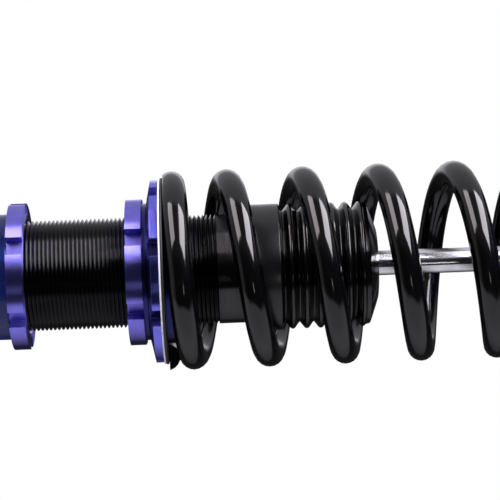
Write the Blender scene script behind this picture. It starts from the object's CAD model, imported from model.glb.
"""Looks of a coil-over strut.

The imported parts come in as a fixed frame, in metres, with +Z along the rod to the top mount.
Each sub-assembly below models the finer pieces that stand in for plain solids. The other solids
keep their meshes, and both get procedural finishes.
"""

import logging
import math
from collections.abc import Callable, Iterator, Sequence
from contextlib import contextmanager
from dataclasses import dataclass
from enum import Enum
from itertools import pairwise

import bpy
from mathutils import Matrix, Vector


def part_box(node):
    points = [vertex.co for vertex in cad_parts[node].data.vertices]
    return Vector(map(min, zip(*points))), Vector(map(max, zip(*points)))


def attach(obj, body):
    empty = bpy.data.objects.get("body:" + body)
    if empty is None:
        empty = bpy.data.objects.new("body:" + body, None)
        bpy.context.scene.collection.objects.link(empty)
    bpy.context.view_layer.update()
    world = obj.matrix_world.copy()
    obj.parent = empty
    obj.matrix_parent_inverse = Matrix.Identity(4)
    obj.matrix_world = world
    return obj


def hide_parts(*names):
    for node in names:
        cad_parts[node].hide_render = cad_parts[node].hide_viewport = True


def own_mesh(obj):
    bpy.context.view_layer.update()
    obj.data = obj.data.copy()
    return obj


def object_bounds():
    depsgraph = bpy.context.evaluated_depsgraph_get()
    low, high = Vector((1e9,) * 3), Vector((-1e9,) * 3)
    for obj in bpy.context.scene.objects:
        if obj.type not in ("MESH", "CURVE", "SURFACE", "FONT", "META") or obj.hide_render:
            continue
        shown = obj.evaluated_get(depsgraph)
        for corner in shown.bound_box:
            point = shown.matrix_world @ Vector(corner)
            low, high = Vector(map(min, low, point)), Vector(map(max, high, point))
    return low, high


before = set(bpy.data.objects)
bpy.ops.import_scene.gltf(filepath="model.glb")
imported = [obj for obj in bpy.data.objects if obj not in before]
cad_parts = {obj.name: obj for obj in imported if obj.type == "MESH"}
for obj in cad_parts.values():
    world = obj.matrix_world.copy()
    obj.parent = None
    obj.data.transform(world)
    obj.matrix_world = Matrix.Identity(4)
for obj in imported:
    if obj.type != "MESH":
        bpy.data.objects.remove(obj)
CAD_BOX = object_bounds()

logging.basicConfig(level=logging.INFO, format="%(message)s")
log = logging.getLogger("strut")

MM = 0.001
MERGE = 1e-6
UP = (0, 0, 1)
WHITE = (1, 1, 1, 1)
Colour = tuple[float, float, float]
Profile = list[tuple[float, float]]
Piece = bpy.types.Object
Socket = bpy.types.NodeSocket
Band = tuple[Socket, float, float]


# ---- Modelling by hand ----


def deselect_all() -> None:
    """Clears the selection, which holds every loaded solid at first."""
    bpy.ops.object.select_all(action="DESELECT")


def pick(piece: Piece) -> None:
    """Selects one piece and makes it the active one.

    Args:
        piece: The object that the next operators act on.
    """
    deselect_all()
    piece.select_set(True)
    bpy.context.view_layer.objects.active = piece


@contextmanager
def editing(piece: Piece) -> Iterator[None]:
    """Opens a piece in edit mode with all of it selected.

    Args:
        piece: The mesh object to edit.
    """
    pick(piece)
    bpy.ops.object.mode_set(mode="EDIT")
    bpy.ops.mesh.select_mode(type="VERT")
    bpy.ops.mesh.select_all(action="SELECT")
    try:
        yield
    finally:
        bpy.ops.object.mode_set(mode="OBJECT")


def close_up(threshold: float = MERGE) -> None:
    """Merges the edited piece's doubles and turns its faces outwards.

    Args:
        threshold: How close together doubles are.
    """
    bpy.ops.mesh.select_all(action="SELECT")
    bpy.ops.mesh.remove_doubles(threshold=threshold)
    bpy.ops.mesh.normals_make_consistent(inside=False)


def settle(piece: Piece, name: str) -> Piece:
    """Names a piece and moves its place and size into its mesh.

    Args:
        piece: The object to settle.
        name: Its new name.

    Returns:
        The same object, at the origin, unturned and unscaled.
    """
    pick(piece)
    bpy.ops.object.transform_apply(location=True, rotation=True, scale=True)
    piece.name = piece.data.name = name
    return piece


def apply_modifier(piece: Piece, kind: str, **settings: object) -> None:
    """Adds a modifier, sets it and applies it.

    Args:
        piece: The mesh object.
        kind: The modifier's type.
        settings: Its settings by name.
    """
    pick(piece)
    modifier = piece.modifiers.new(kind.lower(), kind)
    for key, value in settings.items():
        setattr(modifier, key, value)
    bpy.ops.object.modifier_apply(modifier=modifier.name)


def smooth(piece: Piece, degrees: float = 35.0) -> Piece:
    """Shades a piece smooth, except over edges sharper than an angle.

    Args:
        piece: The mesh object.
        degrees: The angle above which an edge stays sharp.

    Returns:
        The same object.
    """
    pick(piece)
    bpy.ops.object.shade_smooth_by_angle(angle=math.radians(degrees))
    return piece


def rounded(corners: Profile, radius: float, steps: int = 3) -> Profile:
    """Rounds the corners of a closed profile.

    Args:
        corners: Points of (radius, height), in order.
        radius: How far from a corner the rounding starts.
        steps: Points on each rounding, less one.

    Returns:
        The finer profile. Corners on the axis stay sharp.
    """
    result: Profile = []
    most = 0.45
    for i, corner in enumerate(corners):
        if corner[0] < MERGE:
            result.append(corner)
            continue
        here = Vector(corner)
        before = Vector(corners[i - 1]) - here
        after = Vector(corners[(i + 1) % len(corners)]) - here
        reach = min(radius, most * before.length, most * after.length)
        start = here + before.normalized() * reach
        end = here + after.normalized() * reach
        for k in range(steps + 1):
            t = k / steps
            point = start * (1 - t) ** 2 + here * (2 * t * (1 - t)) + end * t**2
            result.append((point.x, point.y))
    return result


def arc(
    centre: tuple[float, float], radius: float, start: float, end: float, steps: int
) -> Profile:
    """Gives points along a profile's arc, from one angle in degrees to another."""
    angles = [math.radians(start + (end - start) * k / steps) for k in range(steps + 1)]
    return [(centre[0] + radius * math.cos(a), centre[1] + radius * math.sin(a)) for a in angles]


def traced(name: str, profile: Profile, closed: bool) -> Piece:
    """Extrudes one vertex along a profile in the XZ plane.

    Args:
        name: The new piece's name.
        profile: Points of (radius, height).
        closed: Whether the last point joins the first.

    Returns:
        A wire that can be spun.
    """
    deselect_all()
    bpy.ops.mesh.primitive_plane_add(size=MM)
    piece = bpy.context.object
    path = profile + [profile[0]] if closed else profile
    with editing(piece):
        bpy.ops.mesh.merge(type="CENTER")
        bpy.ops.transform.translate(value=(path[0][0], 0, path[0][1]))
        for before, after in pairwise(path):
            step = (after[0] - before[0], 0, after[1] - before[1])
            bpy.ops.mesh.extrude_region_move(TRANSFORM_OT_translate={"value": step})
        bpy.ops.mesh.select_all(action="SELECT")
        bpy.ops.mesh.remove_doubles(threshold=MERGE)
    return settle(piece, name)


def lathed(name: str, profile: Profile, steps: int = 128) -> Piece:
    """Spins a closed profile once round the Z axis.

    Args:
        name: The new piece's name.
        profile: Points of (radius, height).
        steps: Faces round the axis.

    Returns:
        A closed turned piece, shaded smooth between its edges.
    """
    piece = traced(name, profile, closed=True)
    with editing(piece):
        bpy.ops.mesh.spin(steps=steps, angle=math.tau, center=(0, 0, 0), axis=UP)
        close_up()
    return smooth(piece)


def box(name: str, low: Vector, high: Vector) -> Piece:
    """Adds a block.

    Args:
        name: The new piece's name.
        low: Its lowest corner.
        high: Its highest corner.

    Returns:
        The block, settled at the origin.
    """
    deselect_all()
    bpy.ops.mesh.primitive_cube_add(size=1, location=(low + high) / 2, scale=high - low)
    return settle(bpy.context.object, name)


def cylinder(
    name: str, radius: float, length: float, middle: Sequence[float], sides: int, turn: float = 0.0
) -> Piece:
    """Adds a cylinder that stands upright.

    Args:
        name: The new piece's name.
        radius: Its radius over the corners.
        length: Its length.
        middle: Its middle.
        sides: How many sides it has.
        turn: Degrees that it is turned by.

    Returns:
        The cylinder, settled at the origin.
    """
    deselect_all()
    bpy.ops.mesh.primitive_cylinder_add(
        vertices=sides, radius=radius, depth=length, location=middle,
        rotation=(0, 0, math.radians(turn)),
    )
    return settle(bpy.context.object, name)


def joined(name: str, parts: Sequence[Piece]) -> Piece:
    """Joins pieces into one object.

    Args:
        name: The name that the result gets.
        parts: The pieces; the first one takes in the rest.

    Returns:
        The joined object, settled at the origin.
    """
    pick(parts[0])
    for part in parts[1:]:
        part.select_set(True)
    bpy.ops.object.join()
    return settle(parts[0], name)


def copies_around(piece: Piece, count: int, turn: float = 0.0) -> Piece:
    """Repeats a piece round the Z axis and joins the copies to it.

    Args:
        piece: The piece to repeat.
        count: How many there are in all.
        turn: Degrees that the first one is turned by.

    Returns:
        One object that holds them all.
    """
    parts = [piece] + [piece.copy() for _ in range(count - 1)]
    for part in parts[1:]:
        part.data = piece.data.copy()
        bpy.context.scene.collection.objects.link(part)
    for k, part in enumerate(parts):
        part.matrix_world = Matrix.Rotation(math.radians(turn) + math.tau * k / count, 4, "Z")
    return joined(piece.name, parts)


def combine(piece: Piece, other: Piece, operation: str) -> Piece:
    """Cuts, adds or intersects one piece with another, which is used up.

    Args:
        piece: The piece that is kept.
        other: The piece that shapes it.
        operation: DIFFERENCE, UNION or INTERSECT.

    Returns:
        The shaped piece.
    """
    apply_modifier(piece, "BOOLEAN", object=other, operation=operation, solver="EXACT")
    bpy.data.objects.remove(other)
    return piece


def bevelled(piece: Piece, width: float, segments: int) -> Piece:
    """Breaks a piece's sharp edges, and splits faces with too many sides to hold a hole.

    Args:
        piece: The mesh object.
        width: The bevel's width in metres.
        segments: Faces across the bevel.

    Returns:
        The same object, shaded smooth.
    """
    flat, blunt, most_sides = 0.2, 32.0, 40
    with editing(piece):
        bpy.ops.mesh.remove_doubles(threshold=MERGE)
        bpy.ops.mesh.dissolve_limited(angle_limit=math.radians(flat))
        bpy.ops.mesh.select_mode(type="FACE")
        bpy.ops.mesh.select_face_by_sides(number=most_sides, type="GREATER", extend=False)
        bpy.ops.mesh.quads_convert_to_tris(quad_method="BEAUTY", ngon_method="BEAUTY")
        bpy.ops.mesh.select_mode(type="VERT")
    apply_modifier(
        piece, "BEVEL", width=width, segments=segments, limit_method="ANGLE",
        angle_limit=math.radians(blunt), use_clamp_overlap=True, harden_normals=False,
    )
    smooth(piece)
    apply_modifier(piece, "WEIGHTED_NORMAL", keep_sharp=True)
    return piece


def hex_nut(name: str, low: float, high: float, flats: float, hole: float) -> Piece:
    """Models a hexagon nut with chamfered corners.

    Args:
        name: The nut's name.
        low: Height of its lower face.
        high: Height of its upper face.
        flats: Width across the flats.
        hole: Radius of its hole.

    Returns:
        The nut, with two of its corners on the X axis.
    """
    corner = flats / math.sqrt(3)
    drop = 0.6 * (corner - flats / 2)
    rim = flats / 2 - 0.3 * MM
    nut = lathed(name, [
        (hole, low), (rim, low), (corner, low + drop), (corner, high - drop), (rim, high),
        (hole, high),
    ], steps=96)
    middle = (0, 0, (low + high) / 2)
    length = high - low + 2 * MM
    prism = cylinder(name + "_prism", corner, length, middle, sides=6, turn=30)
    return smooth(combine(nut, prism, "INTERSECT"), degrees=20)


def laid_across(piece: Piece, height: float) -> Piece:
    """Turns a piece from the Z axis to the Y axis and lifts it to a height.

    Args:
        piece: A piece centred on the origin.
        height: Height of its new axis.

    Returns:
        The same object, settled.
    """
    turn = Matrix.Rotation(math.radians(90), 4, "X")
    piece.matrix_world = Matrix.Translation((0, 0, height)) @ turn
    return settle(piece, piece.name)


@dataclass
class Thread:
    """A right-hand screw thread round the Z axis.

    Attributes:
        crest: Radius over the crests.
        depth: Depth of the groove.
        pitch: Rise of one turn.
        low: Lowest height.
        high: Highest height.
        steps: Faces round one turn.
    """

    crest: float
    depth: float
    pitch: float
    low: float
    high: float
    steps: int = 96

    def build(self, name: str, inner: float) -> Piece:
        """Winds one groove's profile up the axis, cuts both ends square and closes it.

        Args:
            name: The new piece's name.
            inner: Radius of the plain inner wall.

        Returns:
            A closed threaded tube from low to high.
        """
        root = self.crest - self.depth
        start = self.low - self.pitch
        groove = [(0.0, root), (0.22, root), (0.50, self.crest), (0.66, self.crest), (1.0, root)]
        piece = traced(name, [(r, start + share * self.pitch) for share, r in groove], closed=False)
        apply_modifier(
            piece, "SCREW", axis="Z", screw_offset=self.pitch, use_merge_vertices=False,
            iterations=math.ceil((self.high - start) / self.pitch) + 2,
            steps=self.steps, render_steps=self.steps, use_smooth_shade=True,
        )
        with editing(piece):
            bpy.ops.mesh.remove_doubles(threshold=10 * MERGE)
            self.cut_square(self.low, inner / root, clear_inner=True)
            rise = (0, 0, self.high - self.low - MM)
            bpy.ops.mesh.extrude_edges_move(TRANSFORM_OT_translate={"value": rise})
            self.cut_square(self.high, inner / root, clear_outer=True)
            bpy.ops.mesh.select_all(action="SELECT")
            bpy.ops.mesh.region_to_loop()
            bpy.ops.mesh.bridge_edge_loops()
            bpy.ops.mesh.select_all(action="SELECT")
            bpy.ops.mesh.normals_make_consistent(inside=False)
        return smooth(piece, degrees=75)

    @staticmethod
    def cut_square(height: float, share: float, **side: bool) -> None:
        """Cuts the edited thread at a height and extrudes the rim towards the axis.

        Args:
            height: The cut's height.
            share: The inner rim's radius as a share of the thread's root.
            side: The side of the cut that goes.
        """
        middle = (0, 0, height)
        bpy.ops.mesh.select_all(action="SELECT")
        bpy.ops.mesh.bisect(plane_co=middle, plane_no=UP, threshold=MERGE, **side)
        bpy.ops.mesh.extrude_edges_move()
        bpy.ops.transform.resize(value=(share, share, 1), center_override=middle)


# ---- Finishes ----


class Graph:
    """A node tree whose nodes are added one by one."""

    def __init__(self, tree: bpy.types.NodeTree) -> None:
        """Starts on a tree."""
        self.tree = tree

    def feed(self, node: bpy.types.Node, inputs: dict[str | int, object]) -> None:
        """Sets a node's inputs.

        Args:
            node: The node.
            inputs: For each input's name or number, a constant or a socket to link it to.
        """
        for key, value in inputs.items():
            if isinstance(value, Socket):
                self.tree.links.new(value, node.inputs[key])
            else:
                node.inputs[key].default_value = value

    def add(
        self, kind: str, inputs: dict[str | int, object] | None = None, **settings: object
    ) -> bpy.types.Node:
        """Adds a node.

        Args:
            kind: The node's type.
            inputs: What its inputs get.
            settings: Its options by name.

        Returns:
            The node.
        """
        node = self.tree.nodes.new(kind)
        for key, value in settings.items():
            setattr(node, key, value)
        self.feed(node, inputs or {})
        return node

    def math(self, operation: str, *values: object) -> Socket:
        """Calculates with sockets or numbers."""
        return self.add("ShaderNodeMath", dict(enumerate(values)), operation=operation).outputs[0]

    def ramp(
        self, value: Socket, start: float, end: float, low: float, high: float, ease: str
    ) -> Socket:
        """Maps a value's range to two limits.

        Args:
            value: The value.
            start: The value that gives the first limit.
            end: The value that gives the second limit.
            low: The first limit.
            high: The second limit.
            ease: LINEAR or SMOOTHSTEP.

        Returns:
            The mapped socket.
        """
        limits = {
            "Value": value, "From Min": start, "From Max": end, "To Min": low, "To Max": high,
        }
        return self.add("ShaderNodeMapRange", limits, interpolation_type=ease).outputs[0]

    def fade(self, value: Socket, start: float, end: float, top: float = 1.0) -> Socket:
        """Gives 0 at the start, a top value at the end and a soft step between them."""
        return self.ramp(value, start, end, 0.0, top, "SMOOTHSTEP")


class Surface(Graph):
    """The nodes of a material, round its main shader."""

    def __init__(self, name: str) -> None:
        """Starts a material with a plain shader.

        Args:
            name: The material's name.
        """
        self.material = bpy.data.materials.new(name)
        self.material.use_nodes = True
        super().__init__(self.material.node_tree)
        self.shader = self.tree.nodes["Principled BSDF"]

    def place(self) -> Socket:
        """Gives the object's own coordinates."""
        return self.add("ShaderNodeTexCoord").outputs["Object"]

    def lathe_place(self, across: float, around: float) -> Socket:
        """Gives coordinates that hardly change round the Z axis, for turning marks.

        Args:
            across: Scale along the axis and the radius.
            around: Scale round the axis.

        Returns:
            The vector socket.
        """
        x, y, z = self.add("ShaderNodeSeparateXYZ", {0: self.place()}).outputs
        square = self.math("ADD", self.math("MULTIPLY", x, x), self.math("MULTIPLY", y, y))
        return self.add("ShaderNodeCombineXYZ", {
            0: self.math("MULTIPLY", self.math("SQRT", square), across),
            1: self.math("MULTIPLY", self.math("ARCTAN2", y, x), around),
            2: self.math("MULTIPLY", z, across),
        }).outputs[0]

    def noise(self, vector: Socket, scale: float, detail: float, roughness: float = 0.5) -> Socket:
        """Reads a noise texture at a vector."""
        inputs = {"Vector": vector, "Scale": scale, "Detail": detail, "Roughness": roughness}
        return self.add("ShaderNodeTexNoise", inputs).outputs[0]

    def finished(
        self, colour: Colour, tone: Band, wear: Band, relief: Socket, depth: float
    ) -> bpy.types.Material:
        """Colours, roughens and bumps the shader.

        Args:
            colour: The mean colour.
            tone: A noise, and what the colour is multiplied by where it is low and high.
            wear: A noise, and the roughness where it is low and high.
            relief: A noise for the surface's height.
            depth: How high that stands, in metres.

        Returns:
            The material.
        """
        start, end = 0.3, 0.7
        blend = self.add("ShaderNodeValToRGB", {0: tone[0]})
        for stop, position, factor in zip(blend.color_ramp.elements, (start, end), tone[1:]):
            stop.position = position
            stop.color = (*(min(1.0, channel * factor) for channel in colour), 1.0)
        bump = self.add("ShaderNodeBump", {"Distance": depth, "Height": relief})
        self.feed(self.shader, {
            "Base Color": blend.outputs[0],
            "Roughness": self.ramp(wear[0], start, end, *wear[1:], "LINEAR"),
            "Normal": bump.outputs[0],
        })
        return self.material


@dataclass(frozen=True)
class Turned:
    """Metal that was turned on a lathe, plain or anodised.

    Attributes:
        name: The finish's name.
        colour: Its metallic colour.
        rough: Roughness between the marks.
        marks: Depth of the turning marks in metres.
        anisotropy: How much the marks stretch a highlight along the axis.
        wander: How much the roughness varies.
    """

    name: str
    colour: Colour
    rough: float = 0.28
    marks: float = 2e-6
    anisotropy: float = 0.6
    wander: float = 0.07

    def material(self) -> bpy.types.Material:
        """Builds the material.

        Returns:
            It, with fine rings round the axis and a faint mottle.
        """
        surface = Surface(self.name)
        rings = surface.lathe_place(across=9000.0, around=1.2)
        lines = surface.noise(rings, scale=1.0, detail=2.0, roughness=0.6)
        mottle = surface.noise(surface.place(), scale=160.0, detail=4.0)
        dark, light = 0.9, 1.08
        tangent = surface.add("ShaderNodeTangent", direction_type="RADIAL", axis="Z").outputs[0]
        surface.feed(surface.shader, {
            "Metallic": 1.0, "Anisotropic": self.anisotropy, "Anisotropic Rotation": 0.25,
            "Tangent": tangent,
        })
        wear = (lines, self.rough - self.wander, self.rough + self.wander)
        return surface.finished(self.colour, (mottle, dark, light), wear, lines, self.marks)


@dataclass(frozen=True)
class Milled:
    """Metal with no turning marks: ground, plated, cast or milled.

    Attributes:
        name: The finish's name.
        colour: Its metallic colour.
        rough: Roughness.
        grain: Depth of the surface grain in metres.
        scale: Grains per metre.
        patches: How much the colour wanders.
    """

    name: str
    colour: Colour
    rough: float = 0.3
    grain: float = 3e-6
    scale: float = 2500.0
    patches: float = 0.1

    def material(self) -> bpy.types.Material:
        """Builds the material.

        Returns:
            It, with a metallic grain whose patches are a little duller.
        """
        surface = Surface(self.name)
        grain = surface.noise(surface.place(), self.scale, detail=4.0, roughness=0.6)
        patch = surface.noise(surface.place(), scale=90.0, detail=3.0)
        surface.feed(surface.shader, {"Metallic": 1.0})
        below, above = 0.4 * self.patches, 0.6 * self.patches
        tone = (patch, 1 - self.patches, 1 + self.patches)
        wear = (patch, self.rough - below, self.rough + above)
        return surface.finished(self.colour, tone, wear, grain, self.grain)


@dataclass(frozen=True)
class Coated:
    """Paint, plastic or rubber.

    Attributes:
        name: The finish's name.
        colour: Its colour.
        rough: Roughness.
        coat: Weight of a clear gloss on top.
        grain: Depth of the surface grain in metres.
        scale: Grains per metre.
        patches: How much the colour wanders.
        specular: Strength of the reflection, 0.5 as usual.
    """

    name: str
    colour: Colour
    rough: float = 0.4
    coat: float = 0.0
    grain: float = 5e-6
    scale: float = 1500.0
    patches: float = 0.12
    specular: float = 0.5

    def material(self) -> bpy.types.Material:
        """Builds the material.

        Returns:
            It, with a grain, wide patches and the gloss on top.
        """
        surface = Surface(self.name)
        grain = surface.noise(surface.place(), self.scale, detail=3.0)
        patch = surface.noise(surface.place(), scale=70.0, detail=4.0)
        least, below, above = 0.02, 0.04, 0.05
        surface.feed(surface.shader, {
            "Coat Weight": self.coat, "Coat Roughness": 0.04, "Specular IOR Level": self.specular,
        })
        tone = (patch, 1 - self.patches, 1 + self.patches)
        wear = (patch, max(least, self.rough - below), self.rough + above)
        return surface.finished(self.colour, tone, wear, grain, self.grain)


class Finish(Enum):
    """Every finish on the strut."""

    VIOLET_COLLAR = Turned("anodised_violet_collar", (0.245, 0.225, 0.86), 0.33, 1e-6, 1.0, 0.04)
    VIOLET_PERCH = Turned("anodised_violet_perch", (0.20, 0.205, 0.88), 0.18, 1e-6, 1.0)
    VIOLET_SHADE = Turned("anodised_violet_shade", (0.034, 0.034, 0.155), 0.30)
    VIOLET_SLOT = Milled("milled_violet", (0.24, 0.22, 0.80), 0.40, 1.5e-5, 1100.0, 0.15)
    VIOLET_PLATE = Milled("anodised_violet_plate", (0.235, 0.185, 0.66), 0.30, 3e-6, 1500.0, 0.025)
    VIOLET_SEAT = Turned("anodised_violet_seat", (0.215, 0.175, 0.66), 0.27)
    BARE_ALUMINIUM = Turned("turned_aluminium", (0.76, 0.76, 0.78), 0.25)
    BLACK_ALUMINIUM = Turned("anodised_black", (0.045, 0.045, 0.05), 0.35)
    ZINC = Milled("zinc_plate", (0.66, 0.66, 0.63), 0.28, 3e-6, 1800.0, 0.12)
    GROUND_STEEL = Turned("ground_steel", (0.62, 0.62, 0.64), 0.16, 1e-6, 0.3)
    DARK_STEEL = Milled("phosphated_steel", (0.10, 0.10, 0.105), 0.45)
    CHROME = Turned("hard_chrome", (0.80, 0.80, 0.83), 0.17, 0.0, 1.0, 0.01)
    BRASS = Milled("cage_brass", (0.72, 0.50, 0.20), 0.26)
    SPRING_PAINT = Coated("gloss_black_paint", (0.0012, 0.0011, 0.0013), 0.11, 0.0, 3e-6, 260.0)
    TUBE_COAT = Turned("black_tube_coat", (0.054, 0.054, 0.056), 0.22, 1e-6, 1.0)
    THREAD_COAT = Turned("black_thread_coat", (0.0165, 0.0165, 0.0172), 0.27, 1e-6, 0.8)
    BRACKET_PAINT = Coated(
        "royal_blue_paint", (0.005, 0.016, 0.115), 0.26, 0.15, 7e-6, 330.0, 0.12, 0.3
    )
    BOOT_RUBBER = Coated("gloss_boot_rubber", (0.0015, 0.0015, 0.0016), 0.14, 0.0, 3e-6, 500.0)
    CUFF_RUBBER = Coated("matt_boot_rubber", (0.0025, 0.0025, 0.003), 0.26, 0.0, 8e-6, 1500.0)
    SEAL_RUBBER = Coated("seal_rubber", (0.02, 0.02, 0.02), 0.45)
    BUSH_RUBBER = Coated("bush_rubber", (0.022, 0.022, 0.023), 0.55, 0.0, 1.2e-5, 900.0)
    ISOLATOR = Coated("isolator_rubber", (0.02, 0.02, 0.021), 0.5)
    FOAM = Coated("cream_foam", (0.70, 0.58, 0.30), 0.8, 0.0, 1e-4, 700.0, 0.15)
    SLIP_WHITE = Coated("white_slip_plastic", (0.82, 0.82, 0.82), 0.35)
    BAND_BROWN = Coated("bearing_plastic", (0.30, 0.17, 0.09), 0.45)
    STOP_RED = Coated("red_polyurethane", (0.36, 0.045, 0.035), 0.4)
    KNOB_BLACK = Coated("gloss_black_plastic", (0.02, 0.02, 0.02), 0.3)


# The body, the material slot and the finish of each solid that a modelled piece stands in for.
ROLES: dict[str, tuple[str, str, Finish]] = {
    "coil_spring": ("spring_carriage", "spring_black", Finish.SPRING_PAINT),
    "isolator_ring": ("spring_carriage", "isolator_black", Finish.ISOLATOR),
    "slip_ring": ("spring_carriage", "slip_white", Finish.SLIP_WHITE),
    "spring_perch": ("perch", "violet_perch", Finish.VIOLET_PERCH),
    "upper_lock_collar": ("upper_collar", "violet_collar", Finish.VIOLET_COLLAR),
    "lower_lock_collar": ("bracket_carriage", "violet_collar", Finish.VIOLET_COLLAR),
    "body_tube": ("damper_body", "tube_black", Finish.TUBE_COAT),
    "dust_boot": ("damper_body", "boot_black", Finish.BOOT_RUBBER),
    "bump_stop": ("damper_body", "foam_cream", Finish.FOAM),
    "top_plate": ("top_mount", "violet_plate", Finish.VIOLET_PLATE),
    "mount_studs": ("top_mount", "zinc_steel", Finish.ZINC),
    "ball_race": ("top_mount", "bearing_steel", Finish.GROUND_STEEL),
    "mount_ball": ("rod_group", "rod_chrome", Finish.CHROME),
    "top_spacer": ("rod_group", "bare_aluminium", Finish.BARE_ALUMINIUM),
    "rod_nut": ("rod_group", "zinc_steel", Finish.ZINC),
    "bearing_collar": ("rod_group", "bare_aluminium", Finish.BARE_ALUMINIUM),
    "upper_thrust_race": ("rod_group", "bearing_steel", Finish.GROUND_STEEL),
    "rod_stop_washer": ("rod_group", "zinc_steel", Finish.ZINC),
    "piston_rod": ("rod_group", "rod_chrome", Finish.CHROME),
    "thrust_balls": ("bearing_cage", "bearing_steel", Finish.GROUND_STEEL),
    "lower_thrust_race": ("upper_seat", "bearing_steel", Finish.GROUND_STEEL),
    "upper_spring_seat": ("upper_seat", "violet_plate", Finish.VIOLET_SEAT),
    "upper_isolator": ("upper_seat", "isolator_black", Finish.ISOLATOR),
    "adjuster_knob": ("knob", "knob_black", Finish.KNOB_BLACK),
    "lower_bracket": ("bracket", "bracket_blue", Finish.BRACKET_PAINT),
    "eye_bush": ("bracket", "bush_black", Finish.BUSH_RUBBER),
    "eye_sleeve": ("bush_sleeve", "zinc_steel", Finish.ZINC),
}


class Wardrobe:
    """Keeps one material for each finish and dresses pieces with it."""

    def __init__(self) -> None:
        """Starts with no material made."""
        self.made: dict[Finish, bpy.types.Material] = {}

    def material(self, finish: Finish) -> bpy.types.Material:
        """Gives a finish's material, made on first use.

        Args:
            finish: The finish.

        Returns:
            Its one material.
        """
        if finish not in self.made:
            self.made[finish] = finish.value.material()
        return self.made[finish]

    def install(self, piece: Piece, node: str) -> None:
        """Dresses a modelled piece and puts it in place of a solid.

        Args:
            piece: The mesh object.
            node: The solid that it stands for.
        """
        body, slot, finish = ROLES[node]
        piece.data.materials.clear()
        piece.data.materials.append(self.material(finish))
        for face in piece.data.polygons:
            face.material_index = 0
        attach(piece, body)
        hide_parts(node)
        faces = len(piece.data.polygons)
        log.info("%s replaces %s on %s, %d faces", piece.name, node, body, faces)

    def dress_some(
        self, piece: Piece, finish: Finish, chosen: Callable[[bpy.types.MeshPolygon], bool]
    ) -> None:
        """Puts a further finish on an installed piece.

        Args:
            piece: The mesh object.
            finish: The finish.
            chosen: Tells whether a face gets it.
        """
        piece.data.materials.append(self.material(finish))
        for face in piece.data.polygons:
            if chosen(face):
                face.material_index = len(piece.data.materials) - 1

    def dress_solids(self, finishes: dict[str, Finish]) -> None:
        """Puts finishes on loaded solids, whose meshes stay as they are.

        Args:
            finishes: The finish of each solid.
        """
        for node, finish in finishes.items():
            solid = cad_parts[node]
            if not solid.material_slots:
                solid.data.materials.append(None)
            for place in solid.material_slots:
                place.material = self.material(finish)
            log.info("%s keeps its mesh", node)


def turned_ring(wardrobe: Wardrobe, node: str, inner: float, edge: float = 0.4 * MM) -> None:
    """Models a plain ring with soft edges in place of a solid, from its box.

    Args:
        wardrobe: Where its material comes from.
        node: The solid that it stands for.
        inner: Its inner radius.
        edge: How far its edges are rounded.
    """
    low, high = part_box(node)
    corners = [(inner, low.z), (high.x, low.z), (high.x, high.z), (inner, high.z)]
    wardrobe.install(lathed(node + "_turned", rounded(corners, edge), steps=144), node)


# ---- Sub-assemblies ----


@dataclass
class CoilSpring:
    """The coil spring: one round wire, closed and ground flat at both ends."""

    wardrobe: Wardrobe
    wire: float = 12.8 * MM
    inside: float = 70.5 * MM
    active_turns: float = 4.75
    end_gap: float = 0.5 * MM
    end_lead: float = 0.55
    grind: float = 1.2 * MM
    steps: int = 96
    stroke: float = 85 * MM

    def build(self) -> None:
        """Winds the wire, grinds its ends and installs it."""
        low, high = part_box("coil_spring")
        bottom, length = low.z, high.z - low.z
        bpy.ops.curve.primitive_nurbs_path_add()
        coil = bpy.context.object
        coil.data.splines.clear()
        spline = coil.data.splines.new("POLY")
        points = self.centre_line(bottom, length)
        spline.points.add(len(points) - 1)
        for target, point in zip(spline.points, points):
            target.co = (*point, 1.0)
        coil.data.dimensions = "3D"
        coil.data.twist_mode = "Z_UP"
        coil.data.bevel_depth = self.wire / 2
        coil.data.bevel_resolution = 8
        coil.data.use_fill_caps = True
        pick(coil)
        bpy.ops.object.convert(target="MESH")
        coil = bpy.context.object
        with editing(coil):
            close_up(threshold=1e-7)
            for height, side in ((bottom, "clear_inner"), (high.z, "clear_outer")):
                bpy.ops.mesh.select_all(action="SELECT")
                bpy.ops.mesh.bisect(
                    plane_co=(0, 0, height), plane_no=UP, use_fill=True, **{side: True}
                )
        smooth(settle(coil, "coil_spring_wound"), degrees=50)
        self.wardrobe.install(coil, "coil_spring")
        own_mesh(coil)

    def centre_line(self, bottom: float, length: float) -> list[Vector]:
        """Works out the wire's centre line.

        Args:
            bottom: Height of the lower ground end.
            length: Distance between the ground ends.

        Returns:
            Points from the lower tip to the upper one.
        """
        end_pitch = self.wire + self.end_gap
        rise = length + 2 * self.grind
        pitch = (rise - 2 * end_pitch) / self.active_turns
        turns = self.active_turns + 2
        radius = (self.inside + self.wire) / 2
        count = round(turns * self.steps)
        points = []
        for i in range(count + 1):
            t = turns * i / count
            if t < 1:
                height = end_pitch * self.end_rise(t)
            elif t > turns - 1:
                height = rise - end_pitch * self.end_rise(turns - t)
            else:
                height = end_pitch + pitch * (t - 1)
            x, y = radius * math.cos(math.tau * t), radius * math.sin(math.tau * t)
            points.append(Vector((x, y, bottom - self.grind + height)))
        return points

    def end_rise(self, turns: float) -> float:
        """Says how much of a closed turn's rise is done some way round it, from 0 to 1."""
        return turns * (self.end_lead + (1 - self.end_lead) * turns)


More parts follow.
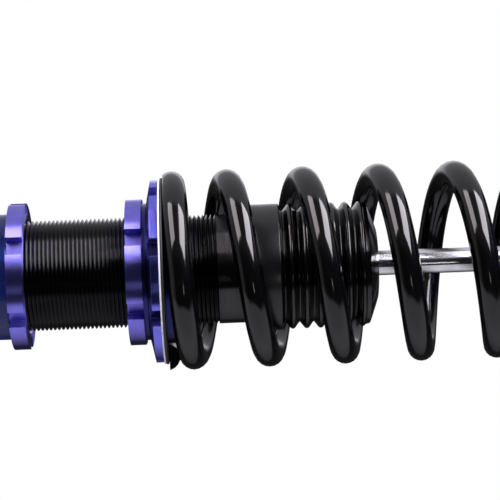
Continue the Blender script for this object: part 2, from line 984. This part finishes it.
@dataclass
class Damper:
    """The threaded tube with its boot, bump stop and gland."""

    wardrobe: Wardrobe
    thread_radius: float = 26.5 * MM
    thread_depth: float = 1.25 * MM
    thread_pitch: float = 2 * MM
    thread_rise: float = 25.2 * MM
    plain_radius: float = 26.3 * MM
    bore: float = 23 * MM
    cuff_radius: float = 30.5 * MM
    cuff_length: float = 14.5 * MM
    lobes: int = 6
    lobe_pitch: float = 6.75 * MM
    lobe_radius: float = 30.2 * MM
    lobe_depth: float = 3.2 * MM
    tip_radius: float = 1.55 * MM
    lip_radius: float = 0.5 * MM
    boot_wall: float = 1.6 * MM
    boot_end_radius: float = 17 * MM
    boot_taper: float = 4.5 * MM
    rod_hole: float = 6.3 * MM
    bump_radius: float = 19 * MM

    def build(self) -> None:
        """Builds the outside of the damper and dresses what is inside."""
        self.build_tube()
        self.build_boot()
        self.build_bump_stop()
        self.wardrobe.dress_solids({
            "gland_nut": Finish.BLACK_ALUMINIUM, "rod_wiper": Finish.SEAL_RUBBER,
            "rod_guide": Finish.BARE_ALUMINIUM, "rod_seal": Finish.SEAL_RUBBER,
            "rod_bush": Finish.BRASS, "guide_seal": Finish.SEAL_RUBBER,
            "floating_piston": Finish.BARE_ALUMINIUM, "floating_piston_seal": Finish.SEAL_RUBBER,
            "base_cap": Finish.BLACK_ALUMINIUM, "gas_screw": Finish.ZINC,
        })

    def build_tube(self) -> None:
        """Models the tube with its cut thread and its plain end."""
        low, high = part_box("body_tube")
        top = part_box("coil_spring")[0].z + self.thread_rise
        root = self.thread_radius - self.thread_depth
        wall = Thread(self.thread_radius, self.thread_depth, self.thread_pitch, low.z, top)
        threaded = wall.build("tube_thread", 0.5 * (self.bore + root))
        root, foot, step = root - 0.3 * MM, low.z + 0.1 * MM, top - 0.4 * MM
        sleeve = lathed("tube_wall", rounded([
            (self.bore, foot), (root, foot), (root, step),
            (self.plain_radius, step), (self.plain_radius, high.z), (self.bore, high.z),
        ], 0.35 * MM))
        tube = joined("body_tube_threaded", [threaded, sleeve])
        self.wardrobe.install(tube, "body_tube")
        edge = top - 0.1 * MM
        self.wardrobe.dress_some(tube, Finish.THREAD_COAT, lambda face: face.center.z < edge)

    def build_boot(self) -> None:
        """Models the rubber boot: cuff, bellows and tapered end."""
        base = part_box("dust_boot")[0].z
        cuff_top = base + self.cuff_length
        first = cuff_top + self.boot_wall
        taper = first + self.lobes * self.lobe_pitch
        top = taper + self.boot_taper
        inner = top - self.boot_wall
        grip, lip, shoulder = self.plain_radius + 0.05 * MM, self.lip_radius, 0.7 * MM
        lobe, end, hole = self.lobe_radius, self.boot_end_radius, self.rod_hole
        outside: Profile = [(grip, base)]
        outside += arc((self.cuff_radius - lip, base + lip), lip, -90, 0, 3)
        outside += arc((self.cuff_radius - shoulder, cuff_top - shoulder), shoulder, 0, 80, 4)
        outside += self.bellows(first, 0.0)
        outside += [
            (lobe - 1.3 * MM, taper - 0.1 * MM), (lobe - 2.0 * MM, taper + 0.35 * MM),
            (end + 3 * MM, top - 1.1 * MM), (end, top - 0.15 * MM), (end - 1 * MM, top),
            (hole + 0.6 * MM, top), (hole, top - 0.6 * MM),
        ]
        inside: Profile = [
            (hole, inner), (end - 1.2 * MM, inner), (lobe - 3.6 * MM, taper - 0.4 * MM),
        ]
        inside += self.bellows(first, self.boot_wall)[::-1]
        inside += [(grip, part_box("body_tube")[1].z + 0.3 * MM)]
        boot = smooth(lathed("dust_boot_moulded", outside + inside, steps=144), degrees=60)
        self.wardrobe.install(boot, "dust_boot")
        self.wardrobe.dress_some(boot, Finish.CUFF_RUBBER, lambda face: face.center.z < cuff_top)

    def bellows(self, first: float, inset: float) -> Profile:
        """Works out the bellows: round tips with narrow valleys between them.

        Args:
            first: Height of the first valley.
            inset: Distance in from the outer surface.

        Returns:
            The points, from the lowest valley to the highest tip.
        """
        points: Profile = []
        for k in range(self.lobes):
            valley = first + k * self.lobe_pitch
            centre = (self.lobe_radius - self.tip_radius - inset, valley + self.lobe_pitch / 2)
            root = self.lobe_radius - self.lobe_depth - inset
            points += arc((root + self.lip_radius, valley), self.lip_radius, 215, 145, 4)
            points += arc(centre, self.tip_radius, -62, 62, 8)
        return points

    def build_bump_stop(self) -> None:
        """Models the foam bump stop that stands on the gland nut."""
        low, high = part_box("bump_stop")
        full, waist = self.bump_radius, self.bump_radius / 6
        bulge = full - 0.5 * MM
        outline = (
            (0.0, full), (0.2, full), (0.3, full - waist), (0.4, bulge), (0.55, bulge),
            (0.65, full - 1.5 * waist), (0.75, full - waist), (1.0, self.rod_hole + 2.2 * waist),
        )
        outside = [(radius, low.z + share * (high.z - low.z)) for share, radius in outline]
        corners = [(self.rod_hole, low.z)] + outside + [(self.rod_hole, high.z)]
        profile = rounded(corners, radius=1.8 * MM, steps=5)
        stop = smooth(lathed("bump_stop_foam", profile, steps=96), degrees=60)
        self.wardrobe.install(stop, "bump_stop")


@dataclass
class SlottedRing:
    """A turned ring with spanner slots: a lock collar or the spring perch."""

    wardrobe: Wardrobe
    node: str
    profile: Profile
    slots: int
    slot_width: float
    slot_floor: float
    slot_turn: float
    slot_bottom: float
    slot_top: float
    edge: float = 0.4 * MM

    def build(self) -> Piece:
        """Turns the ring, mills its slots, breaks its edges and installs it.

        Returns:
            The installed ring.
        """
        ring = lathed(self.node + "_turned", self.profile, steps=160)
        half = self.slot_width / 2
        low = Vector((self.slot_floor, -half, self.slot_bottom - MM))
        high = Vector((self.outer() + 2 * MM, half, self.slot_top + MM))
        cutter = box(self.node + "_cutter", low, high)
        combine(ring, copies_around(cutter, self.slots, self.slot_turn), "DIFFERENCE")
        bevelled(ring, self.edge, segments=3)
        self.wardrobe.install(ring, self.node)
        self.wardrobe.dress_some(ring, Finish.VIOLET_SLOT, self.is_milled)
        return ring

    def outer(self) -> float:
        """Gives the ring's outer radius."""
        return max(radius for radius, _ in self.profile)

    def is_milled(self, face: bpy.types.MeshPolygon) -> bool:
        """Tells the slots' floors and walls from the turned faces.

        Args:
            face: A face of the ring.

        Returns:
            Whether it was milled.
        """
        margin, steepest = 0.5 * MM, 0.5
        inside = self.slot_floor - margin < face.center.xy.length < self.outer() - margin
        return inside and abs(face.normal.z) < steepest


@dataclass
class SpringCarrier:
    """The perch, the lock collars and the rings under the spring."""

    wardrobe: Wardrobe
    bore: float = 26.55 * MM
    chamfer: float = 1.2 * MM
    collar_radius: float = 35.3 * MM
    collar_slot: float = 8.8 * MM
    collar_floor: float = 29.5 * MM
    upper_turn: float = 1.4
    lower_turn: float = 5.0
    perch_radius: float = 44 * MM
    perch_flange: float = 3.9 * MM
    perch_cone: float = 2.3 * MM
    perch_neck: float = 33 * MM
    hub_radius: float = 34.9 * MM
    hub_height: float = 9 * MM
    perch_slot: float = 8.5 * MM
    perch_floor: float = 36.2 * MM
    perch_turn: float = 29.5

    def build(self) -> None:
        """Builds the two collars, the perch and the two rings."""
        self.collar("upper_lock_collar", self.upper_turn)
        self.collar("lower_lock_collar", self.lower_turn)
        self.perch()
        inner = self.hub_radius + 0.55 * MM
        turned_ring(self.wardrobe, "isolator_ring", inner)
        turned_ring(self.wardrobe, "slip_ring", inner, edge=0.15 * MM)

    def collar(self, node: str, turn: float) -> None:
        """Builds one lock collar.

        Args:
            node: The solid that it stands for.
            turn: Degrees to its first slot.
        """
        low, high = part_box(node)
        mouth, wide = self.bore + self.chamfer, self.collar_radius
        profile = [
            (mouth, low.z), (wide, low.z), (wide, high.z), (mouth, high.z),
            (self.bore, high.z - self.chamfer), (self.bore, low.z + self.chamfer),
        ]
        SlottedRing(
            self.wardrobe, node, profile, slots=6, slot_width=self.collar_slot,
            slot_floor=self.collar_floor, slot_turn=turn, slot_bottom=low.z, slot_top=high.z,
        ).build()

    def perch(self) -> None:
        """Builds the perch with its slotted flange, cone, neck and hub."""
        low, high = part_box("spring_perch")
        top = high.z - self.hub_height
        flange = top - self.perch_flange
        neck, wide, hub = self.perch_neck, self.perch_radius, self.hub_radius
        profile = [
            (self.bore, low.z), (neck, low.z), (neck, flange - self.perch_cone), (wide, flange),
            (wide, top), (hub, top), (hub, high.z - MM), (hub - MM, high.z),
            (self.bore + self.chamfer, high.z), (self.bore, high.z - self.chamfer),
        ]
        perch = SlottedRing(
            self.wardrobe, "spring_perch", profile, slots=8, slot_width=self.perch_slot,
            slot_floor=self.perch_floor, slot_turn=self.perch_turn, slot_bottom=low.z,
            slot_top=top, edge=0.3 * MM,
        ).build()
        start, end = flange - 0.2 * MM, top + 0.1 * MM
        self.wardrobe.dress_some(
            perch, Finish.VIOLET_SHADE, lambda face: not start < face.center.z < end
        )


@dataclass
class TopMount:
    """The stud plate with its ball joint, and the nut and spacer on the rod's end."""

    wardrobe: Wardrobe
    plate_radius: float = 68 * MM
    plate_thickness: float = 12 * MM
    boss_radius: float = 26 * MM
    lip_radius: float = 15.5 * MM
    lip: float = 2 * MM
    race_radius: float = 17.5 * MM
    scallop_radius: float = 60 * MM
    scallop_reach: float = 42 * MM
    stud_circle: float = 56 * MM
    stud_radius: float = 5 * MM
    stud_root: float = 5.3 * MM
    head_radius: float = 7.5 * MM
    studs: int = 3
    ball_radius: float = 12.5 * MM
    rod_hole: float = 5.05 * MM
    nut_flats: float = 16 * MM

    def build(self) -> None:
        """Builds the plate, the studs, the ball joint and the nut."""
        self.plate()
        self.stud_set()
        self.ball_joint()
        low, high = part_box("rod_nut")
        nut = hex_nut("rod_nut_hex", low.z, high.z, self.nut_flats, self.rod_hole)
        self.wardrobe.install(nut, "rod_nut")

    def plate(self) -> None:
        """Models the plate: a disc with a boss, scalloped between the studs."""
        low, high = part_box("top_plate")
        under, ledge = high.z - self.plate_thickness, low.z + self.lip
        pocket = self.race_radius + 0.05 * MM
        plate = lathed("top_plate_milled", [
            (self.lip_radius, low.z), (self.boss_radius, low.z), (self.boss_radius, under),
            (self.plate_radius, under), (self.plate_radius, high.z), (pocket, high.z),
            (pocket, ledge), (self.lip_radius, ledge),
        ], steps=180)
        middle = (self.scallop_reach + self.scallop_radius, 0, under)
        scallop = cylinder("scallop", self.scallop_radius, 60 * MM, middle, sides=192)
        combine(plate, copies_around(scallop, self.studs, 180 / self.studs), "DIFFERENCE")
        self.wardrobe.install(bevelled(plate, width=0.8 * MM, segments=3), "top_plate")

    def stud_set(self) -> None:
        """Models one pressed-in stud with its thread, and repeats it."""
        low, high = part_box("mount_studs")
        wide, head, under = self.stud_radius, self.head_radius, -self.plate_thickness
        core = wide - 1.2 * MM
        stem = lathed("stud_stem", [
            (0, low.z), (head - 0.8 * MM, low.z), (head, low.z + 0.8 * MM), (head, under),
            (self.stud_root, under), (self.stud_root, 0), (core + 0.5 * MM, MM),
            (core, 1.6 * MM), (core, high.z - 1.4 * MM), (wide - 0.5 * MM, high.z - 1.0 * MM),
            (wide - 1.4 * MM, high.z), (0, high.z),
        ], steps=64)
        wound = Thread(
            wide, depth=0.9 * MM, pitch=1.5 * MM, low=1.3 * MM, high=high.z - 0.9 * MM, steps=48
        )
        thread = wound.build("stud_thread", core - 0.3 * MM)
        stud = joined("mount_studs_threaded", [stem, thread])
        stud.location = (self.stud_circle, 0, 0)
        self.wardrobe.install(copies_around(settle(stud, stud.name), self.studs), "mount_studs")

    def ball_joint(self) -> None:
        """Models the race, the ball and the spacer, and dresses the circlip."""
        low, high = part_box("ball_race")
        middle = (low.z + high.z) / 2
        bowl, wide, edge = self.ball_radius + 0.05 * MM, self.race_radius, 0.5 * MM
        reach = math.degrees(math.asin((high.z - middle) / bowl))
        race = lathed("ball_race_ground", arc((0, middle), bowl, reach, -reach, 24) + [
            (wide - edge, low.z), (wide, low.z + edge), (wide, high.z - edge),
            (wide - edge, high.z),
        ])
        self.wardrobe.install(race, "ball_race")
        low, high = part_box("mount_ball")
        reach = math.degrees(math.asin((high.z - middle) / self.ball_radius))
        flank = arc((0, middle), self.ball_radius, -reach, reach, 32)
        outline = [(self.rod_hole, low.z)] + flank + [(self.rod_hole, high.z)]
        self.wardrobe.install(lathed("mount_ball_ground", outline), "mount_ball")
        turned_ring(self.wardrobe, "top_spacer", self.rod_hole)
        self.wardrobe.dress_solids({"race_circlip": Finish.DARK_STEEL})


@dataclass
class UpperSeat:
    """The upper spring seat with its thrust bearing, isolator and washer."""

    wardrobe: Wardrobe
    bore: float = 10.2 * MM
    rod_hole: float = 5.05 * MM
    crown_radius: float = 26 * MM
    rise: float = 5 * MM
    flange: float = 5 * MM
    web: float = 7.7 * MM
    hub_radius: float = 34.9 * MM
    pocket_radius: float = 20 * MM
    nose_radius: float = 8 * MM
    collar_flange: float = 4 * MM
    balls: int = 14
    ball_radius: float = 2.2 * MM

    def build(self) -> None:
        """Builds the seat and what carries it."""
        self.seat()
        self.collar()
        self.ball_set()
        bores = {
            "upper_thrust_race": self.bore, "lower_thrust_race": self.bore,
            "rod_stop_washer": self.rod_hole, "upper_isolator": self.hub_radius + 0.05 * MM,
        }
        for node, inner in bores.items():
            turned_ring(self.wardrobe, node, inner)
        self.wardrobe.dress_solids({"thrust_cage": Finish.BRASS})

    def seat(self) -> None:
        """Models the seat: a flanged, domed crown with a hub that centres the spring."""
        low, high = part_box("upper_spring_seat")
        edge, hub, web = high.z - self.rise, self.hub_radius, high.z - self.web
        seat = lathed("upper_spring_seat_turned", rounded([
            (self.bore, web), (self.pocket_radius, web), (self.pocket_radius, low.z),
            (hub - 1.5 * MM, low.z), (hub, low.z + 1.5 * MM), (hub, edge - self.flange),
            (high.x, edge - self.flange), (high.x, edge),
            (self.crown_radius + self.rise, edge), (self.crown_radius, high.z),
            (self.bore, high.z),
        ], 0.7 * MM), steps=180)
        self.wardrobe.install(seat, "upper_spring_seat")

    def collar(self) -> None:
        """Models the collar between the ball and the bearing."""
        low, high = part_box("bearing_collar")
        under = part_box("upper_thrust_race")[1].z
        sleeve, root, nose = self.bore - 0.05 * MM, under + self.collar_flange, self.nose_radius
        collar = lathed("bearing_collar_turned", rounded([
            (self.rod_hole, low.z), (sleeve, low.z), (sleeve, under), (high.x, under),
            (high.x, root), (nose + (high.z - root) / 2, root), (nose, high.z),
            (self.rod_hole, high.z),
        ], 0.5 * MM))
        self.wardrobe.install(collar, "bearing_collar")

    def ball_set(self) -> None:
        """Models the balls of the thrust bearing."""
        low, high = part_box("thrust_balls")
        deselect_all()
        bpy.ops.mesh.primitive_uv_sphere_add(
            segments=32, ring_count=16, radius=self.ball_radius,
            location=(high.x - self.ball_radius, 0, (low.z + high.z) / 2),
        )
        balls = copies_around(settle(bpy.context.object, "thrust_balls_ground"), self.balls)
        self.wardrobe.install(smooth(balls, degrees=60), "thrust_balls")


@dataclass
class RodGroup:
    """The chromed rod with its adjuster, and the parts on its lower end."""

    wardrobe: Wardrobe
    radius: float = 6 * MM
    stub_radius: float = 5 * MM
    thread_depth: float = 0.8 * MM
    thread_pitch: float = 1.5 * MM
    thread_length: float = 12 * MM
    flutes: int = 12
    needle_radius: float = 2 * MM

    def build(self) -> None:
        """Builds the rod and the knob, and dresses what sits on the rod inside the tube."""
        self.rod()
        self.knob()
        self.wardrobe.dress_solids({
            "topout_stop": Finish.STOP_RED, "backing_washer": Finish.ZINC,
            "upper_shims": Finish.GROUND_STEEL, "piston": Finish.BARE_ALUMINIUM,
            "piston_band": Finish.BAND_BROWN, "lower_shims": Finish.GROUND_STEEL,
            "piston_nut": Finish.ZINC, "adjuster_needle": Finish.GROUND_STEEL,
        })

    def rod(self) -> None:
        """Models the rod: stepped down at both ends, threaded at its top."""
        low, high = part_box("piston_rod")
        step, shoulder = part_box("topout_stop")[0].z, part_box("rod_stop_washer")[0].z
        start, top = high.z - self.thread_length, high.z
        bore, stub, wide, edge = self.needle_radius, self.stub_radius, self.radius, 0.5 * MM
        core = stub - self.thread_depth - 0.2 * MM
        stem = lathed("rod_stem", [
            (bore, low.z), (stub - edge, low.z), (stub, low.z + edge), (stub, step),
            (wide, step), (wide, shoulder - edge), (wide - edge, shoulder), (stub, shoulder),
            (stub, start), (core, start + 0.2 * MM), (core, top - 0.7 * MM),
            (stub - 0.3 * MM, top - 0.6 * MM), (stub - 0.9 * MM, top), (bore, top),
        ], steps=96)
        wound = Thread(stub, self.thread_depth, self.thread_pitch, start, top - edge, steps=48)
        thread = wound.build("rod_thread", core - 0.3 * MM)
        self.wardrobe.install(joined("piston_rod_chromed", [stem, thread]), "piston_rod")

    def knob(self) -> None:
        """Models the adjuster knob: fluted, with a dished top."""
        low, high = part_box("adjuster_knob")
        radius, hole = high.x, self.needle_radius + 0.05 * MM
        socket, dish = low.z + 2 * MM, high.z - 0.6 * MM
        knob = lathed("adjuster_knob_fluted", [
            (hole, low.z), (radius - 0.8 * MM, low.z), (radius, low.z + 0.8 * MM),
            (radius, high.z - 1.2 * MM), (radius - 1.2 * MM, high.z), (0.62 * radius, high.z),
            (0.56 * radius, dish), (0, dish), (0, socket), (hole, socket),
        ], steps=144)
        middle = (radius + MM, 0, (low.z + high.z) / 2)
        flute = cylinder("flute", radius / 6, 40 * MM, middle, sides=32)
        combine(knob, copies_around(flute, self.flutes), "DIFFERENCE")
        self.wardrobe.install(bevelled(knob, width=0.3 * MM, segments=2), "adjuster_knob")


@dataclass
class LowerBracket:
    """The bracket that screws on to the tube, with its rubber bush and steel sleeve."""

    wardrobe: Wardrobe
    radius: float = 30.25 * MM
    bore: float = 26.55 * MM
    chamfer: float = 1.2 * MM
    floor: float = 6 * MM
    web: float = 26 * MM
    eye_radius: float = 21 * MM
    eye_length: float = 38 * MM
    bush_radius: float = 16.5 * MM
    sleeve_radius: float = 10 * MM
    bolt_radius: float = 6.1 * MM
    play: float = 0.05 * MM

    def build(self) -> None:
        """Builds the bracket, the bush and its sleeve."""
        low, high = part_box("lower_bracket")
        eye = low.z + self.eye_radius
        under = (self.eye_radius - self.bush_radius) + 2.05 * MM
        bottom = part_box("eye_bush")[1].z + under
        body = self.sleeve(bottom, high.z)
        combine(body, self.web_block(bottom, eye), "UNION")
        combine(body, self.eye_barrel(eye), "UNION")
        hole = cylinder("eye_hole", self.bush_radius, 80 * MM, (0, 0, 0), sides=128)
        combine(body, laid_across(hole, eye), "DIFFERENCE")
        self.wardrobe.install(smooth(body, degrees=30), "lower_bracket")
        sleeve, bush = self.sleeve_radius, self.bush_radius
        self.tube("eye_bush", sleeve + self.play, bush - self.play, eye, 1.4 * MM)
        self.tube("eye_sleeve", self.bolt_radius, sleeve, eye, 0.6 * MM)

    def sleeve(self, bottom: float, top: float) -> Piece:
        """Turns the sleeve that the tube screws into.

        Args:
            bottom: Height of its floor's underside.
            top: Height of its rim.

        Returns:
            The sleeve with a closed floor.
        """
        room = bottom + self.floor
        return lathed("lower_bracket_painted", rounded([
            (0, bottom), (self.radius - self.floor, bottom), (self.radius, room),
            (self.radius, top), (self.bore + self.chamfer, top),
            (self.bore, top - self.chamfer), (self.bore, room), (0, room),
        ], 0.8 * MM, 4), steps=160)

    def web_block(self, bottom: float, eye: float) -> Piece:
        """Shapes the block between the sleeve's floor and the eye.

        Args:
            bottom: Height of the floor's underside.
            eye: Height of the eye's middle.

        Returns:
            A block that narrows towards the eye, with soft edges.
        """
        wide, start = self.radius - self.floor, bottom + MM
        share = (self.eye_radius - 0.5 * MM) / wide
        foot, rise = (0, 0, start), (0, 0, eye - start)
        deselect_all()
        bpy.ops.mesh.primitive_plane_add(size=1, location=foot)
        block = settle(bpy.context.object, "web")
        with editing(block):
            bpy.ops.transform.resize(value=(2 * wide, self.web, 1), center_override=foot)
            bpy.ops.mesh.extrude_region_move(TRANSFORM_OT_translate={"value": rise})
            bpy.ops.transform.resize(value=(share, 1, 1), center_override=(0, 0, eye))
            bpy.ops.mesh.select_all(action="SELECT")
            bpy.ops.mesh.normals_make_consistent(inside=False)
        return bevelled(block, width=2 * MM, segments=5)

    def eye_barrel(self, eye: float) -> Piece:
        """Turns the eye and lays it across the strut.

        Args:
            eye: Height of its middle.

        Returns:
            The eye, without its hole.
        """
        half, wide = self.eye_length / 2, self.eye_radius
        outline = rounded([(0, -half), (wide, -half), (wide, half), (0, half)], 1.2 * MM, 5)
        return laid_across(lathed("eye", outline, steps=160), eye)

    def tube(self, node: str, inner: float, outer: float, eye: float, edge: float) -> None:
        """Models a tube in the eye.

        Args:
            node: The solid that it stands for.
            inner: Its inner radius.
            outer: Its outer radius.
            eye: Height of the eye's middle.
            edge: How far its edges are rounded.
        """
        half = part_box(node)[1].y
        corners = [(inner, -half), (outer, -half), (outer, half), (inner, half)]
        tube = lathed(node + "_turned", rounded(corners, edge, 4))
        self.wardrobe.install(laid_across(tube, eye), node)


def aimed(
    data: bpy.types.ID, spot: Vector, back: Vector, up: Vector, roll: float = 0.0
) -> Piece:
    """Adds a camera or a lamp to the scene.

    Args:
        data: The camera's or the lamp's data.
        spot: Where it stands.
        back: The direction that its back is turned to.
        up: A direction on its upper side.
        roll: Radians that it is rolled by.

    Returns:
        The new object, with its data's name.
    """
    side = up.cross(back).normalized()
    facing = Matrix((side, back.cross(side), back)).transposed().to_4x4()
    tool = bpy.data.objects.new(data.name, data)
    bpy.context.scene.collection.objects.link(tool)
    tool.matrix_world = Matrix.Translation(spot) @ (facing @ Matrix.Rotation(roll, 4, "Z"))
    return tool


@dataclass
class Studio:
    """Camera, lamps, floor and backdrop."""

    spring_low: float
    spring_pixel: float = 166.3
    metres_per_pixel: float = 0.4834 * MM
    foot_pixel: float = 227.0
    axis_pixel: float = 268.7
    frame_pixels: int = 500
    sensor: float = 36.0
    tilt: float = 2.2
    distance: float = 0.98
    lamp_distance: float = 1.1
    lamp_aim: float = 40 * MM
    floor_radius: float = 0.6
    floor_white: float = 0.85

    def build(self) -> None:
        """Sets up the whole studio."""
        self.camera()
        self.lamps()
        self.world()
        self.floor()
        bpy.context.scene.view_settings.view_transform = "Standard"
        log.info("studio is ready")

    def camera(self) -> None:
        """Places the camera across the strut, rolled so that the rod runs to the right."""
        middle, pixel = self.frame_pixels / 2, self.metres_per_pixel
        tilt = math.radians(self.tilt)
        right = Vector((math.sin(tilt), 0, math.cos(tilt)))
        up = Vector((-math.cos(tilt), 0, math.sin(tilt)))
        foot = Vector((0, 0, self.spring_low + (self.foot_pixel - self.spring_pixel) * pixel))
        foot += up * (self.axis_pixel - middle) * pixel
        aim = foot + right * (middle - self.foot_pixel) * pixel
        spot = foot + right.cross(up) * self.distance
        data = bpy.data.cameras.new("camera")
        data.sensor_width = self.sensor
        data.lens = self.sensor * self.distance / (pixel * self.frame_pixels)
        bpy.context.scene.camera = aimed(data, spot, (spot - aim).normalized(), up)

    def lamps(self) -> None:
        """Adds the softboxes: two large ones above, set aslant, and a small one below."""
        self.softbox("left_box", (-58, 49.5), (28, -51), (1.00, 0.62), 6.4, (1.0, 0.90, 0.93))
        self.softbox("right_box", (58, 43.5), (36, 39), (1.15, 0.70), 12.0, (0.955, 0.92, 1.0))
        self.softbox("low_box", (14, -20), (-20, 0), (0.05, 0.20), 6.0, (0.96, 0.96, 1.0))

    def softbox(
        self, name: str, bearing: tuple[float, float], stance: tuple[float, float],
        size: tuple[float, float], radiance: float, colour: Colour,
    ) -> None:
        """Adds one softbox, turned to the strut.

        Args:
            name: The lamp's name.
            bearing: Degrees to the right of the camera and above it, seen from the strut.
            stance: Degrees that its face looks down, and its roll.
            size: Its width and height.
            radiance: How bright its face is, where the backdrop has 1.
            colour: Its colour.
        """
        across, above = (math.radians(angle) for angle in bearing)
        tilt, roll = (math.radians(angle) for angle in stance)
        data = bpy.data.lights.new(name, "AREA")
        data.shape = "RECTANGLE"
        data.size, data.size_y = size
        data.energy = radiance * math.pi * data.size * data.size_y
        data.color = colour
        middle, back = (
            Vector((
                -math.sin(rise), -math.cos(rise) * math.cos(across),
                math.cos(rise) * math.sin(across),
            ))
            for rise in (above, tilt)
        )
        spot = Vector((0, 0, self.spring_low + self.lamp_aim)) + middle * self.lamp_distance
        lamp = aimed(data, spot, back, Vector((-1, 0, 0)), roll)
        lamp.visible_camera = False

    def world(self) -> None:
        """Makes the white backdrop, and dimmer grey surroundings for all that it lights."""
        world = bpy.data.worlds.new("studio")
        bpy.context.scene.world = world
        world.use_nodes = True
        world.node_tree.nodes.clear()
        graph = Graph(world.node_tree)
        backdrop = graph.add("ShaderNodeBackground", {"Color": WHITE})
        grey = {"Color": (0.95, 0.92, 1.0, 1), "Strength": self.surroundings(graph)}
        room = graph.add("ShaderNodeBackground", grey)
        seen = graph.add("ShaderNodeLightPath").outputs["Is Camera Ray"]
        mixed = {0: seen, 1: room.outputs[0], 2: backdrop.outputs[0]}
        mix = graph.add("ShaderNodeMixShader", mixed)
        graph.add("ShaderNodeOutputWorld", {"Surface": mix.outputs[0]})

    def surroundings(self, graph: Graph) -> Socket:
        """Works out how bright the room is in each direction.

        Args:
            graph: The world's nodes.

        Returns:
            A brightness: a pale wall behind, a ceiling, a grey table below and a dark front.
        """
        place = graph.add("ShaderNodeTexCoord").outputs["Generated"]
        down, behind, side = graph.add("ShaderNodeSeparateXYZ", {0: place}).outputs
        join, fade = graph.math, graph.fade
        height = join("MULTIPLY_ADD", down, -0.38, 0.30)
        wall = join("MULTIPLY", fade(behind, -0.25, 0.0), fade(down, 0.0, -0.2))
        wall = join("MULTIPLY", wall, height)
        paper = join("MULTIPLY", fade(behind, 0.80, 0.93), fade(down, -0.06, -0.2))
        glow = join("ADD", fade(down, -0.1, -0.5, 0.15), fade(side, -0.72, -1.0, 0.35))
        edge = join("MULTIPLY_ADD", join("POWER", join("ABSOLUTE", side), 4.0), 0.42, down)
        table = join("MULTIPLY", fade(edge, 0.63, 0.71, 0.70), fade(behind, 0.95, 0.0))
        upper, lower = join("MAXIMUM", wall, paper), join("MAXIMUM", glow, table)
        return join("ADD", join("MAXIMUM", upper, lower), 0.03)

    def floor(self) -> None:
        """Lays a pale round floor under the lowest point of the strut."""
        deselect_all()
        bpy.ops.mesh.primitive_circle_add(
            vertices=128, radius=self.floor_radius, fill_type="NGON",
            location=(0, 0, CAD_BOX[0].z),
        )
        floor = settle(bpy.context.object, "floor")
        surface = Surface("pale_floor")
        surface.feed(surface.shader, {"Base Color": (0.9, 0.9, 0.9, 1), "Roughness": 0.8})
        shine = surface.add("ShaderNodeEmission", {"Color": WHITE}).outputs[0]
        seen = surface.add("ShaderNodeLightPath").outputs["Is Camera Ray"]
        share = surface.math("MULTIPLY", seen, self.floor_white)
        mixed = {0: share, 1: surface.shader.outputs[0], 2: shine}
        mix = surface.add("ShaderNodeMixShader", mixed)
        surface.feed(surface.tree.nodes["Material Output"], {"Surface": mix.outputs[0]})
        floor.data.materials.append(surface.material)
        floor.visible_glossy = False


def main() -> None:
    """Builds and dresses the strut, then the studio."""
    wardrobe = Wardrobe()
    for part in (
        CoilSpring, Damper, SpringCarrier, TopMount, UpperSeat, RodGroup, LowerBracket,
    ):
        part(wardrobe).build()
        log.info("%s is built", part.__name__)
    Studio(spring_low=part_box("coil_spring")[0].z).build()


if __name__ == "__main__":
    main()
